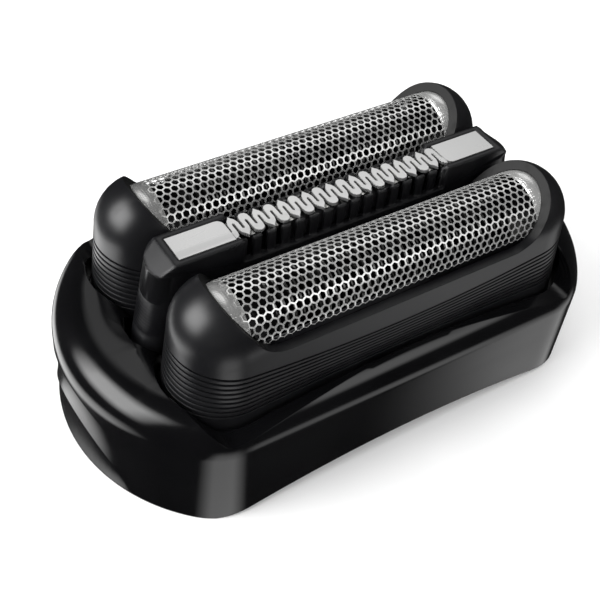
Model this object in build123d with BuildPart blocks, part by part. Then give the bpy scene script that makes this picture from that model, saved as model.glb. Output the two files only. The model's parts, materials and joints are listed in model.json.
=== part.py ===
# Foil head of an electric shaver: two foil elements and a middle trimmer float in a moulded frame.
# Millimetres. X runs along the foils, -Y is the front, +Z is up.
# The origin is below the middle of the head, on the surface that it stands on.
from build123d import *
from math import atan, cos, degrees, radians, sin, sqrt
import os

# Clearances
element_gap = 0.3  # between the trimmer and a foil carrier
float_clearance = 0.3  # between a floating element and the opening of the frame
running_clearance = 0.08  # between a cutter and the foil or comb that it runs under
seat_clearance = 0.05  # round a foil, a comb or a retainer in its seat
stop_gap = 0.2  # between a foot and the deck that stops it
stroke = 1.2  # travel of a cutter to either side
stroke_clearance = 0.4  # left over at the end of that travel

# Foils
foil_radius = 4.33
foil_thickness = 0.2
foil_length = 41.2
foil_leg = 3.0
foil_axis_height = 19.3
foil_hole_pitch = 4.6
foil_bar = 1.0
foil_hole_columns = 7
foil_hole_rows = 3

# Foil carriers
carrier_wall = 1.05
carrier_length = 47.6
carrier_end_facets = 20  # round a full turn
carrier_flare = 0.9
window_floor_length = 32.0
window_ridge_length = 40.4
window_fillet = 3.0
hood_facets = 5
hood_turn = 86.0
rim_drop = 0.25
foot_thickness = 1.0
foot_reach = 0.8

# Ribs round the foil carriers, spread at the ends and drawn together at mid length
rib_count = 5
rib_depth = 0.35
rib_end_drop = 0.8
rib_end_pitch = 1.38
rib_end_groove = 0.5
rib_middle_drop = 2.9
rib_middle_pitch = 0.75
rib_middle_groove = 0.26

# Foil retainers
retainer_height = 3.0
retainer_wall = 1.0
retainer_end_wall = 1.4

# Cutters under the foils
lamella_count = 5
lamella_pitch = 7.2
lamella_thickness = 0.4
lamella_facets = 24  # round a full turn
lamella_seat_drop = 0.9
spine_width = 5.0
spine_height = 1.8
spine_end = 1.6
drive_boss_width = 5.0
drive_boss_length = 7.0
drive_socket_radius = 1.5
drive_socket_depth = 5.0
cutter_spring_thickness = 0.2
cutter_spring_width = 3.0

# Trimmer
plate_top_height = 23.0
trimmer_width = 4.66
trimmer_wall = 0.83
trimmer_rim_length = 40.8
trimmer_shoulder_length = 44.6
trimmer_facet_drop = 1.4
trimmer_end_flare = 2.2
trimmer_end_radius = 4.0
trimmer_corner_radius = 1.8
comb_length = 39.4
comb_width = 3.3
comb_thickness = 0.4
comb_slit_count = 18
comb_slit_pitch = 1.48
comb_slit_width = 0.4
comb_web = 0.6
guard_gap_count = 15
guard_gap_pitch = 1.7
guard_gap_width = 0.75
guard_height = 2.6
guard_inset = 0.35
guard_tip_drop = 0.25
trimmer_blade_length = 27.4
trimmer_blade_thickness = 0.4
trimmer_blade_notch = 0.75
trimmer_blade_pitch = 2.2
trimmer_blade_notch_count = 12
trimmer_blade_side_gap = 0.2
slider_length = 12.0
slider_side_gap = 0.3
slider_height = 10.5
slider_socket_radius = 0.7
slider_socket_depth = 3.0

# Frame
deck_underside = 9.8
frame_top = 13.6
frame_shoulder_radius = 3.6
frame_shoulder_facets = 3
frame_end_overhang = 6.4
frame_side_overhang = 2.2
frame_end_radius = 20.0
frame_corner_radius = 8.0
frame_wall = 1.6
cavity_facets = 24  # round a full turn
saddle_height = 11.4
saddle_rise = 1.8
saddle_length = 43.0
bottom_arch_height = 2.2
bottom_arch_length = 46.0
grip_step = 0.45
grip_feather = 0.02
grip_width = 18.6
upper_grip_crown = 9.6
upper_grip_side = 6.6
upper_grip_run_out = 4.0
lower_grip_crown = 5.8
lower_grip_side = 0.8
catch_length = 6.0
catch_depth = 0.6
catch_height = 0.6
catch_spacing = 22.0

# Base retainer
base_bottom = 1.6
base_thickness = 1.4
base_opening_length = 38.6
base_opening_width = 25.2
base_opening_corner = 3.0
base_post_thickness = 1.2
base_post_width = 7.0
base_post_margin = 0.8

# Springs under the floating elements
float_spring_thickness = 0.25
float_spring_width = 3.0
float_spring_length = 5.0
float_spring_pad = 1.2

# Sizes that follow from those above
carrier_radius = foil_radius + seat_clearance + carrier_wall
foil_axis_offset = trimmer_width / 2 + element_gap + carrier_radius
carrier_crest = foil_axis_height + carrier_radius
dome_offset = carrier_length / 2 - carrier_radius
rim_height = foil_axis_height - rim_drop
foot_top = deck_underside - stop_gap
foot_bottom = foot_top - foot_thickness
carrier_foot_length = carrier_length + 2 * carrier_flare
window_slope = (window_ridge_length - window_floor_length) / 2
carrier_foot_width = 2 * (carrier_radius + carrier_flare)
carrier_draft = degrees(atan(carrier_flare / (foil_axis_height - foot_bottom)))
trimmer_shoulder = plate_top_height - trimmer_facet_drop
trimmer_foot_length = trimmer_shoulder_length + 2 * trimmer_end_flare
opening_half_width = foil_axis_offset + carrier_foot_width / 2 + float_clearance
frame_length = carrier_foot_length + 2 * (float_clearance + frame_end_overhang)
frame_width = 2 * (opening_half_width + frame_side_overhang)
cavity_length = frame_length - 2 * frame_wall
cavity_width = frame_width - 2 * frame_wall
base_top = base_bottom + base_thickness
retainer_top = foil_axis_height - foil_leg
spine_top = foil_axis_height - lamella_seat_drop
spine_bottom = spine_top - spine_height
spine_length = (lamella_count - 1) * lamella_pitch + 2 * spine_end
boss_bottom = spine_bottom - drive_boss_length
comb_bottom = plate_top_height - comb_thickness
guard_bottom = plate_top_height - guard_tip_drop - guard_height
guard_zone = guard_gap_count * guard_gap_pitch
channel_width = trimmer_width - 2 * trimmer_wall
channel_length = trimmer_blade_length + 2 * (stroke + stroke_clearance)
blade_top = comb_bottom - running_clearance
slider_top = blade_top - trimmer_blade_thickness

os.makedirs("parts", exist_ok=True)


def level(height, offset=0.0):
    """Give the level plane at a height, shifted to the front by an offset."""
    return Plane((0, -offset, height))


def bowed_outline(sketch, length, width, end_radius, corner_radius):
    """Draw a long plan with straight sides, bowed ends and rounded corners."""
    Rectangle(length, width)
    SlotCenterToCenter(length - 2 * end_radius, 2 * end_radius, mode=Mode.INTERSECT)
    fillet(sketch.vertices(), corner_radius)


def frame_plan(sketch, outset):
    """Draw the plan of the frame at its fullest, let out all round by an outset."""
    bowed_outline(
        sketch,
        frame_length + 2 * outset,
        frame_width + 2 * outset,
        frame_end_radius + outset,
        frame_corner_radius + outset,
    )


def frame_form():
    """Build the outer form of the frame, whose shoulder is turned over in a few even steps."""
    with BuildPart() as form:
        with BuildSketch() as wall_plan:
            frame_plan(wall_plan, 0)
        extrude(amount=frame_top - frame_shoulder_radius)
        for facet in range(frame_shoulder_facets):
            low = radians(90 * facet / frame_shoulder_facets)
            high = radians(90 * (facet + 1) / frame_shoulder_facets)
            facet_base = frame_top - frame_shoulder_radius * (1 - sin(low))
            with BuildSketch(level(facet_base)) as facet_plan:
                frame_plan(facet_plan, -frame_shoulder_radius * (1 - cos(low)))
            extrude(
                amount=frame_shoulder_radius * (sin(high) - sin(low)),
                taper=degrees(low + high) / 2,
            )
    return form.part


def cavity_plan(outset):
    """Draw the plan of the hollow of the frame, let out by an outset, with its bowed ends in facets."""
    end_centre = frame_length / 2 - frame_end_radius
    with Locations((-end_centre, 0), (end_centre, 0)):
        RegularPolygon(
            frame_end_radius - frame_wall + outset,
            cavity_facets,
            rotation=180 / cavity_facets,
        )
    make_hull()
    Rectangle(cavity_length + 2 * outset, cavity_width + 2 * outset, mode=Mode.INTERSECT)


def grip_cut(crown, side, run_out):
    """Build what a grip takes off both ends: a crescent step that fades to its sides and bottom."""
    with BuildPart() as wall:
        with BuildSketch(level(run_out)) as wall_plan:
            frame_plan(wall_plan, grip_feather)
        extrude(
            amount=crown - run_out,
            taper=degrees(atan((grip_step + grip_feather) / (crown - run_out))),
        )
    with BuildPart() as crescent:
        with BuildSketch(Plane.YZ):
            with BuildLine():
                ThreePointArc((-grip_width / 2, side), (0, crown), (grip_width / 2, side))
                Polyline(
                    (grip_width / 2, side),
                    (grip_width / 2, run_out),
                    (-grip_width / 2, run_out),
                    (-grip_width / 2, side),
                )
            make_face()
        extrude(amount=frame_length, both=True)
        add(wall.part, mode=Mode.SUBTRACT)
    return crescent.part


def carrier_plan(outset, reach=0.0):
    """Draw the plan of a foil carrier at its rim, let out by an outset, with its ends in facets."""
    with Locations((-dome_offset - reach, 0), (dome_offset + reach, 0)):
        RegularPolygon(
            carrier_radius + outset,
            carrier_end_facets,
            major_radius=False,
            rotation=180 / carrier_end_facets,
        )
    make_hull()


def carrier_form(inset):
    """Build the body of the front carrier below its rim, which flares down to its foot."""
    with BuildPart() as form:
        with BuildSketch(level(foil_axis_height, foil_axis_offset)):
            carrier_plan(-inset)
        extrude(amount=foot_bottom - foil_axis_height, taper=-carrier_draft)
    return form.part


def float_spring(offset, side):
    """Build one leaf spring, folded between the base and the foot of an element."""
    outer = side * carrier_foot_length / 2
    fold = outer - side * float_spring_length
    pad = outer - side * float_spring_pad
    with BuildPart() as spring:
        with BuildSketch(Plane.XZ.offset(offset)):
            with BuildLine():
                Polyline(
                    (outer, base_top),
                    (fold, base_top),
                    (pad, foot_bottom),
                    (outer, foot_bottom),
                    (outer, foot_bottom - float_spring_thickness),
                    (pad, foot_bottom - float_spring_thickness),
                    (fold + side * float_spring_pad, base_top + float_spring_thickness),
                    (outer, base_top + float_spring_thickness),
                    close=True,
                )
            make_face()
        extrude(amount=float_spring_width / 2, both=True)
    return spring.part


# The outer form of the frame, and what the two grips take off each of its ends.
frame_body = frame_form()
upper_grip = grip_cut(upper_grip_crown, upper_grip_side, upper_grip_run_out)
lower_grip = grip_cut(lower_grip_crown, lower_grip_side, 0)

# Outer frame: a shell, hollow from below, whose deck has an opening with three lobes.
with BuildPart() as outer_frame:
    add(frame_body)
    add(upper_grip, mode=Mode.SUBTRACT)
    add(lower_grip, mode=Mode.SUBTRACT)
    # The top edge of the long sides is arched and rises to the ends.
    with BuildSketch(Plane.XZ):
        with BuildLine():
            ThreePointArc(
                (-saddle_length / 2, saddle_height),
                (0, saddle_height + saddle_rise),
                (saddle_length / 2, saddle_height),
            )
            Polyline(
                (saddle_length / 2, saddle_height),
                (carrier_foot_length / 2, frame_top),
                (0, frame_top + saddle_rise),
                (-carrier_foot_length / 2, frame_top),
                (-saddle_length / 2, saddle_height),
            )
        make_face()
    extrude(amount=frame_width, both=True, mode=Mode.SUBTRACT)
    # Their lower edge is arched too, so that the frame stands on its ends.
    with BuildSketch(Plane.XZ):
        with BuildLine():
            ThreePointArc(
                (-bottom_arch_length / 2, 0),
                (0, bottom_arch_height),
                (bottom_arch_length / 2, 0),
            )
            Line((bottom_arch_length / 2, 0), (-bottom_arch_length / 2, 0))
        make_face()
    extrude(amount=frame_width, both=True, mode=Mode.SUBTRACT)
    with BuildSketch():
        cavity_plan(0)
    extrude(amount=deck_underside, mode=Mode.SUBTRACT)
    # The opening follows the two foil carriers and the trimmer.
    for side in (1, -1):
        with BuildSketch(level(deck_underside, side * foil_axis_offset)):
            carrier_plan(carrier_flare + float_clearance)
    with BuildSketch(level(deck_underside)) as middle_lobe:
        bowed_outline(
            middle_lobe,
            trimmer_foot_length + 2 * float_clearance,
            trimmer_width + 2 * element_gap,
            trimmer_end_radius,
            trimmer_corner_radius,
        )
    extrude(amount=frame_top, mode=Mode.SUBTRACT)
    # Catches hold the base retainer up.
    with BuildSketch(level(base_bottom)):
        with GridLocations(catch_spacing, cavity_width, 2, 2):
            Rectangle(catch_length, 2 * catch_depth)
    extrude(amount=-catch_height)
outer_frame.part.label = "outer_frame"
export_step(outer_frame.part, "parts/outer_frame.step")

# Base retainer: a ring in the foot of the frame, whose posts reach up to the deck.
with BuildPart() as base_retainer:
    with BuildSketch(level(base_bottom)):
        cavity_plan(-seat_clearance)
        RectangleRounded(
            base_opening_length,
            base_opening_width,
            base_opening_corner,
            mode=Mode.SUBTRACT,
        )
    extrude(amount=base_thickness)
    post_spacing = cavity_length - 2 * base_post_margin - base_post_thickness
    with BuildSketch(level(base_top)):
        with GridLocations(post_spacing, base_post_width, 2, 1):
            Rectangle(base_post_thickness, base_post_width)
    extrude(amount=deck_underside - base_top)
base_retainer.part.label = "base_retainer"
export_step(base_retainer.part, "parts/base_retainer.step")

# The grooves between the ribs of the front carrier, as solids that reach to its inset form.
carrier_body = carrier_form(0)
rib_core = carrier_form(rib_depth)
rib_reach = carrier_foot_length / 2 + foot_reach

with BuildPart() as rib_grooves:
    for rib in range(rib_count):
        end_top = foil_axis_height - rib_end_drop - rib * rib_end_pitch
        end_bottom = end_top - rib_end_groove
        middle_top = foil_axis_height - rib_middle_drop - rib * rib_middle_pitch
        middle_bottom = middle_top - rib_middle_groove
        # Half way out, a rib has risen by a quarter of what it rises to the end.
        waist_top = middle_top + (end_top - middle_top) / 4
        waist_bottom = middle_bottom + (end_bottom - middle_bottom) / 4
        with BuildSketch(Plane.XZ):
            with BuildLine():
                Polyline(
                    (-rib_reach, end_top),
                    (-rib_reach / 2, waist_top),
                    (0, middle_top),
                    (rib_reach / 2, waist_top),
                    (rib_reach, end_top),
                    (rib_reach, end_bottom),
                    (rib_reach / 2, waist_bottom),
                    (0, middle_bottom),
                    (-rib_reach / 2, waist_bottom),
                    (-rib_reach, end_bottom),
                    close=True,
                )
            make_face()
    extrude(amount=frame_width / 2)
    add(rib_core, mode=Mode.SUBTRACT)

# Front foil carrier: a flared, ribbed body with a hood over each end of its foil.
with BuildPart() as front_foil_carrier:
    add(carrier_body)
    add(rib_grooves.part, mode=Mode.SUBTRACT)
    with BuildSketch(level(foot_bottom, foil_axis_offset)):
        carrier_plan(carrier_flare, foot_reach)
    extrude(amount=foot_thickness)
    # An arch along the foil, domed at both ends, is turned over in a few even steps.
    for facet in range(hood_facets):
        low = radians(hood_turn * facet / hood_facets)
        high = radians(hood_turn * (facet + 1) / hood_facets)
        with BuildSketch(level(foil_axis_height + carrier_radius * sin(low), foil_axis_offset)):
            carrier_plan(-carrier_radius * (1 - cos(low)))
        extrude(
            amount=carrier_radius * (sin(high) - sin(low)),
            taper=degrees(low + high) / 2,
        )
    # The side towards the trimmer is flat.
    split(bisect_by=Plane.XZ.offset(foil_axis_offset - carrier_radius), keep=Keep.TOP)
    # The window: straight rims along the foil that sweep up over the hoods.
    with BuildSketch(Plane.XZ) as window:
        with BuildLine():
            Polyline(
                (-window_floor_length / 2, rim_height),
                (window_floor_length / 2, rim_height),
                (window_ridge_length / 2 + window_slope, carrier_crest + carrier_radius),
                (-window_ridge_length / 2 - window_slope, carrier_crest + carrier_radius),
                close=True,
            )
        make_face()
        fillet(window.vertices().group_by(Axis.Y)[0], window_fillet)
    extrude(amount=frame_width, both=True, mode=Mode.SUBTRACT)
    # The seat of the foil, open to below.
    with BuildSketch(Plane.YZ):
        with Locations((-foil_axis_offset, foil_axis_height)):
            RegularPolygon(
                foil_radius + seat_clearance,
                carrier_end_facets,
                major_radius=False,
                rotation=180 / carrier_end_facets,
            )
            Rectangle(
                2 * (foil_radius + seat_clearance),
                foil_axis_height - foot_bottom,
                align=(Align.CENTER, Align.MAX),
            )
    extrude(amount=foil_length / 2 + seat_clearance, both=True, mode=Mode.SUBTRACT)
front_foil_carrier.part.label = "front_foil_carrier"
export_step(front_foil_carrier.part, "parts/front_foil_carrier.step")

# Front foil: a sheet bent over the cutter, pierced by staggered rows of six-sided holes.
foil_row_angle = degrees(foil_hole_pitch * sqrt(3) / 2 / foil_radius)

with BuildPart() as front_foil:
    with BuildSketch(Plane.YZ):
        with Locations((-foil_axis_offset, foil_axis_height)):
            Circle(foil_radius)
            Rectangle(2 * foil_radius, foil_leg, align=(Align.CENTER, Align.MAX))
            Circle(foil_radius - foil_thickness, mode=Mode.SUBTRACT)
            Rectangle(
                2 * (foil_radius - foil_thickness),
                2 * foil_radius,
                align=(Align.CENTER, Align.MAX),
                mode=Mode.SUBTRACT,
            )
    extrude(amount=foil_length / 2, both=True)
    for row in range(foil_hole_rows):
        angle = radians((row - (foil_hole_rows - 1) / 2) * foil_row_angle)
        row_plane = Plane(
            origin=(0, -foil_axis_offset, foil_axis_height),
            x_dir=(1, 0, 0),
            z_dir=(0, sin(angle), cos(angle)),
        )
        with BuildSketch(row_plane):
            with GridLocations(foil_hole_pitch, foil_hole_pitch, foil_hole_columns - row % 2, 1):
                RegularPolygon((foil_hole_pitch - foil_bar) / 2, 6, major_radius=False, rotation=30)
    extrude(amount=foil_radius + foil_thickness, mode=Mode.SUBTRACT)
front_foil.part.label = "front_foil"
export_step(front_foil.part, "parts/front_foil.step")

# Front foil retainer: a ring in the carrier that holds the legs of the foil up.
with BuildPart() as front_foil_retainer:
    with BuildSketch(level(retainer_top, foil_axis_offset)):
        Rectangle(foil_length, 2 * foil_radius)
        Rectangle(
            foil_length - 2 * retainer_end_wall,
            2 * (foil_radius - retainer_wall),
            mode=Mode.SUBTRACT,
        )
    extrude(amount=-retainer_height)
front_foil_retainer.part.label = "front_foil_retainer"
export_step(front_foil_retainer.part, "parts/front_foil_retainer.step")

# Front cutter bridge: a spine under the blades, with the socket of the drive pin below.
with BuildPart() as front_cutter_bridge:
    with BuildSketch(level(spine_bottom, foil_axis_offset)):
        Rectangle(spine_length, spine_width)
    extrude(amount=spine_height)
    with BuildSketch(level(boss_bottom, foil_axis_offset)):
        Rectangle(drive_boss_width, drive_boss_width)
    extrude(amount=drive_boss_length)
    with BuildSketch(level(boss_bottom, foil_axis_offset)):
        Circle(drive_socket_radius)
    extrude(amount=drive_socket_depth, mode=Mode.SUBTRACT)
front_cutter_bridge.part.label = "front_cutter_bridge"
export_step(front_cutter_bridge.part, "parts/front_cutter_bridge.step")

# Front cutter blades: thin arched blades that stand in a row on the spine.
lamella_planes = [
    Plane.YZ.offset((number - (lamella_count - 1) / 2) * lamella_pitch)
    for number in range(lamella_count)
]

with BuildPart() as front_cutter_blades:
    with BuildSketch(*lamella_planes):
        with Locations((-foil_axis_offset, foil_axis_height)):
            RegularPolygon(
                foil_radius - foil_thickness - running_clearance,
                lamella_facets,
                rotation=180 / lamella_facets,
            )
        with Locations((-foil_axis_offset, spine_top)):
            Rectangle(
                2 * foil_radius,
                2 * foil_radius,
                align=(Align.CENTER, Align.MIN),
                mode=Mode.INTERSECT,
            )
    extrude(amount=lamella_thickness / 2, both=True)
front_cutter_blades.part.label = "front_cutter_blades"
export_step(front_cutter_blades.part, "parts/front_cutter_blades.step")

# Front cutter springs: a leaf on each end of the retainer that lifts the spine.
leaf_seat = retainer_top
leaf_tip = spine_bottom - running_clearance - cutter_spring_thickness
leaf_outer = foil_length / 2
leaf_bend = leaf_outer - retainer_end_wall
leaf_inner = spine_length / 2 - stroke - stroke_clearance

with BuildPart() as front_cutter_springs:
    with BuildSketch(Plane.XZ.offset(foil_axis_offset)) as leaf:
        with BuildLine():
            Polyline(
                (leaf_outer, leaf_seat),
                (leaf_bend, leaf_seat),
                (leaf_inner, leaf_tip),
                (leaf_inner, leaf_tip + cutter_spring_thickness),
                (leaf_bend, leaf_seat + cutter_spring_thickness),
                (leaf_outer, leaf_seat + cutter_spring_thickness),
                close=True,
            )
        make_face()
        mirror(about=Plane.YZ)
    extrude(amount=cutter_spring_width / 2, both=True)
front_cutter_springs.part.label = "front_cutter_springs"
export_step(front_cutter_springs.part, "parts/front_cutter_springs.step")

# Trimmer body: a slim block with sloped ends, flared posts and a row of guard fingers on each side.
with BuildPart() as trimmer_body:
    with BuildSketch(level(foot_bottom)) as foot_plan:
        bowed_outline(
            foot_plan,
            trimmer_foot_length,
            trimmer_width,
            trimmer_end_radius,
            trimmer_corner_radius,
        )
    with BuildSketch(level(trimmer_shoulder)) as shoulder_plan:
        bowed_outline(
            shoulder_plan,
            trimmer_shoulder_length,
            trimmer_width,
            trimmer_end_radius,
            trimmer_corner_radius,
        )
    loft(ruled=True)
    with BuildSketch(level(foot_bottom)) as foot_plan:
        bowed_outline(
            foot_plan,
            trimmer_foot_length + 2 * foot_reach,
            trimmer_width,
            trimmer_end_radius,
            trimmer_corner_radius,
        )
    extrude(amount=foot_thickness)
    with BuildSketch(Plane.XZ):
        with BuildLine():
            Polyline(
                (-trimmer_shoulder_length / 2, trimmer_shoulder),
                (-trimmer_rim_length / 2, plate_top_height),
                (trimmer_rim_length / 2, plate_top_height),
                (trimmer_shoulder_length / 2, trimmer_shoulder),
                close=True,
            )
        make_face()
    extrude(amount=trimmer_width / 2, both=True)
    # The end facets keep to the rounded plan of the posts.
    with BuildSketch(level(foot_bottom)) as post_plan:
        bowed_outline(
            post_plan,
            trimmer_foot_length + 2 * foot_reach,
            trimmer_width,
            trimmer_end_radius,
            trimmer_corner_radius,
        )
    extrude(amount=plate_top_height - foot_bottom, mode=Mode.INTERSECT)
    # The channel of the slider and blade, and the seat of the comb above it.
    with BuildSketch(level(foot_bottom)):
        Rectangle(channel_length, channel_width)
    extrude(amount=plate_top_height - foot_bottom, mode=Mode.SUBTRACT)
    with BuildSketch(level(comb_bottom)):
        Rectangle(comb_length + 2 * seat_clearance, comb_width + 2 * seat_clearance)
    extrude(amount=comb_thickness, mode=Mode.SUBTRACT)
    # The guard fingers stand behind a ledge, a little lower than the comb.
    with BuildSketch(level(guard_bottom)):
        with GridLocations(guard_zone, trimmer_width - guard_inset, 1, 2):
            Rectangle(guard_zone, guard_inset)
        with GridLocations(guard_gap_pitch, guard_gap_pitch, guard_gap_count, 1):
            Rectangle(guard_gap_width, trimmer_width)
    extrude(amount=plate_top_height - guard_bottom, mode=Mode.SUBTRACT)
    with BuildSketch(level(plate_top_height - guard_tip_drop)):
        Rectangle(guard_zone, trimmer_width)
    extrude(amount=guard_tip_drop, mode=Mode.SUBTRACT)
trimmer_body.part.label = "trimmer_body"
export_step(trimmer_body.part, "parts/trimmer_body.step")

# Trimmer comb: one strip with a plain plate at each end and slits from both sides between them.
with BuildPart() as trimmer_comb:
    with BuildSketch(level(comb_bottom)):
        Rectangle(comb_length, comb_width)
        for side in (1, -1):
            with Locations((side * comb_slit_pitch / 4, side * comb_web / 2)):
                with GridLocations(comb_slit_pitch, comb_slit_pitch, comb_slit_count, 1):
                    Rectangle(comb_slit_width, comb_width - comb_web, mode=Mode.SUBTRACT)
    extrude(amount=comb_thickness)
trimmer_comb.part.label = "trimmer_comb"
export_step(trimmer_comb.part, "parts/trimmer_comb.step")

# Trimmer blade: a toothed strip that runs to and fro under the comb.
trimmer_blade_width = channel_width - 2 * trimmer_blade_side_gap

with BuildPart() as trimmer_blade:
    with BuildSketch(level(blade_top)):
        Rectangle(trimmer_blade_length, trimmer_blade_width)
        notch_spacing = trimmer_blade_width - trimmer_blade_notch
        with GridLocations(trimmer_blade_pitch, notch_spacing, trimmer_blade_notch_count, 2):
            Rectangle(trimmer_blade_pitch / 2, trimmer_blade_notch, mode=Mode.SUBTRACT)
    extrude(amount=-trimmer_blade_thickness)
trimmer_blade.part.label = "trimmer_blade"
export_step(trimmer_blade.part, "parts/trimmer_blade.step")

# Trimmer slider: the block under the blade, with the socket of its drive pin.
with BuildPart() as trimmer_slider:
    with BuildSketch(level(slider_top)):
        Rectangle(slider_length, channel_width - 2 * slider_side_gap)
    extrude(amount=-slider_height)
    with BuildSketch(level(slider_top - slider_height)):
        Circle(slider_socket_radius)
    extrude(amount=slider_socket_depth, mode=Mode.SUBTRACT)
trimmer_slider.part.label = "trimmer_slider"
export_step(trimmer_slider.part, "parts/trimmer_slider.step")

# The rear element is the front one seen in a mirror.
front_pieces = (
    front_foil_carrier,
    front_foil,
    front_foil_retainer,
    front_cutter_bridge,
    front_cutter_blades,
    front_cutter_springs,
)
for front_piece in front_pieces:
    rear_name = front_piece.part.label.replace("front", "rear")
    with BuildPart() as rear_piece:
        mirror(front_piece.part, about=Plane.XZ)
    rear_piece.part.label = rear_name
    export_step(rear_piece.part, f"parts/{rear_name}.step")

# Each floating element stands on two bent leaf springs.
for element, offset in (("front", foil_axis_offset), ("trimmer", 0), ("rear", -foil_axis_offset)):
    for hand, side in (("left", -1), ("right", 1)):
        spring_name = f"{element}_float_spring_{hand}"
        spring_part = float_spring(offset, side)
        spring_part.label = spring_name
        export_step(spring_part, f"parts/{spring_name}.step")
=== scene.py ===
# %% [markdown]
# # Dressing a shaver foil head
# The CAD frame holds every piece of the head at its real place and size. Here each piece gets
# the finish that the real one has, and the pieces whose fine detail is too small for a solid
# model are built again: the glossy frame, the ribbed carriers, the body of the trimmer, the
# pierced foils, the cutter blades under them and the comb. The float springs are copied.

# %% Load the frame
import json
import math

import bmesh
import bpy
from mathutils import Matrix, Vector


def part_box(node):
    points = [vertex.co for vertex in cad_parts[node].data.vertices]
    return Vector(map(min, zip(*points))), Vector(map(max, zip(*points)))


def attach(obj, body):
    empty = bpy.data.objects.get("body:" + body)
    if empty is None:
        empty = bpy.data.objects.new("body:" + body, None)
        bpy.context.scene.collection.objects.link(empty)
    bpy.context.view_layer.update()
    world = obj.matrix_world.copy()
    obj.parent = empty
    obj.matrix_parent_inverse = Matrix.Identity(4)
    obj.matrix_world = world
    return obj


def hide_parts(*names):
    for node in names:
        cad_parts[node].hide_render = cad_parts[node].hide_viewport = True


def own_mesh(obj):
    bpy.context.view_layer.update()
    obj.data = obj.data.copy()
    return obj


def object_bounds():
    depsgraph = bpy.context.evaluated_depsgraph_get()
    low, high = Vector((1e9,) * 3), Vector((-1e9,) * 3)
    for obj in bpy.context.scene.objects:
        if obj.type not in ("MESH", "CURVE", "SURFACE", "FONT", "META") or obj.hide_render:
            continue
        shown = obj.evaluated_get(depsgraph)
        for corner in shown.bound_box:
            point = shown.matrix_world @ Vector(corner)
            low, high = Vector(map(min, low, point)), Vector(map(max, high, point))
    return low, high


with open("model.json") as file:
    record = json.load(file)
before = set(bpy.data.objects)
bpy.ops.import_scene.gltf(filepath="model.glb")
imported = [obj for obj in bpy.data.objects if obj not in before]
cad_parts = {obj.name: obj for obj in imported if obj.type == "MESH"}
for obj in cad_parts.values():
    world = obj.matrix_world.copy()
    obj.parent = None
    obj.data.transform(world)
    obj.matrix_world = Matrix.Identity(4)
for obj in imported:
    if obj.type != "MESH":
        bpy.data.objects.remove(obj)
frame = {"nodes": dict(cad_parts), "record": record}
cad_low, cad_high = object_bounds()
mm = 0.001


def in_mm(lengths, digits=1):
    """Give lengths in millimetres, rounded for printing."""
    return [round(length / mm, digits) for length in lengths]


def linked(name, data):
    """Add an object to the scene and give it."""
    added = bpy.data.objects.new(name, data)
    bpy.context.scene.collection.objects.link(added)
    return added


print("nodes:", len(frame["nodes"]), "size in mm:", in_mm(cad_high - cad_low))

# %% [markdown]
# ## The camera
# The head is seen from above its front left corner, a little rolled. The angles were found by
# matching corners of the head to the photograph, so they are kept as plain numbers.

# %% Camera
view_azimuth = math.radians(-37.38)
view_elevation = math.radians(45.94)
view_roll = math.radians(7.0)
view_distance = 109.8 * mm
view_target = Vector((-7.36, -5.16, 14.71)) * mm
focal_length_in_frames = 1.7523

sight = Vector((
    math.sin(view_azimuth) * math.cos(view_elevation),
    -math.cos(view_azimuth) * math.cos(view_elevation),
    math.sin(view_elevation),
))
level_right = Vector((math.cos(view_azimuth), math.sin(view_azimuth), 0.0))
level_up = sight.cross(level_right)
rolled_right = level_right * math.cos(view_roll) + level_up * math.sin(view_roll)
rolled_up = level_up * math.cos(view_roll) - level_right * math.sin(view_roll)

camera_data = bpy.data.cameras.new("camera")
camera_data.sensor_width = 36.0
camera_data.lens = focal_length_in_frames * camera_data.sensor_width
camera_data.clip_start = 0.01
camera = linked("camera", camera_data)
turn = Matrix((rolled_right, rolled_up, sight)).transposed().to_4x4()
camera.matrix_world = Matrix.Translation(view_target + sight * view_distance) @ turn
bpy.context.scene.camera = camera
bpy.context.scene.view_settings.view_transform = "Standard"
print("camera at", in_mm(camera.location), "mm, lens", round(camera_data.lens, 1))

# %% [markdown]
# ## Node materials
# Moulded plastic and rolled steel are never one flat tone. Each finish here starts from the same
# few parts: a broad patch noise that shifts colour and roughness, a fine grain for the bump, and
# faint rubbed streaks that roughen the surface where fingers wipe along it. Noise scales are in
# cycles a metre.

# %% A finish
patch_scale = 90.0
tone_from, tone_to = 0.35, 0.65
rough_from, rough_to = 0.3, 0.7
streak_scale, streak_detail = 700.0, 2.0
streak_from, streak_to, streak_share = 0.58, 0.72, 0.8
bump_strength = 0.6
pit_from, pit_to = 0.25, 0.4
edge_samples = 6


def add_node(tree, kind, **settings):
    """Add a shader node and set its own options."""
    node = tree.nodes.new(kind)
    for option, value in settings.items():
        setattr(node, option, value)
    return node


def noise_in(tree, coordinates, scale, detail=3.0, stretch=(1.0, 1.0, 1.0)):
    """Add a noise over Object coordinates, in cycles a metre, and give its value socket."""
    mapping = add_node(tree, "ShaderNodeMapping")
    mapping.inputs["Scale"].default_value = stretch
    tree.links.new(coordinates, mapping.inputs["Vector"])
    noise = add_node(tree, "ShaderNodeTexNoise")
    noise.inputs["Scale"].default_value = scale
    noise.inputs["Detail"].default_value = detail
    tree.links.new(mapping.outputs["Vector"], noise.inputs["Vector"])
    return noise.outputs["Fac"]


def ranged(tree, value, low, high, to_low, to_high):
    """Map a value's range to another range."""
    node = add_node(tree, "ShaderNodeMapRange")
    sockets = ("From Min", "From Max", "To Min", "To Max")
    for socket, number in zip(sockets, (low, high, to_low, to_high)):
        node.inputs[socket].default_value = number
    tree.links.new(value, node.inputs["Value"])
    return node.outputs["Result"]


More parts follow.
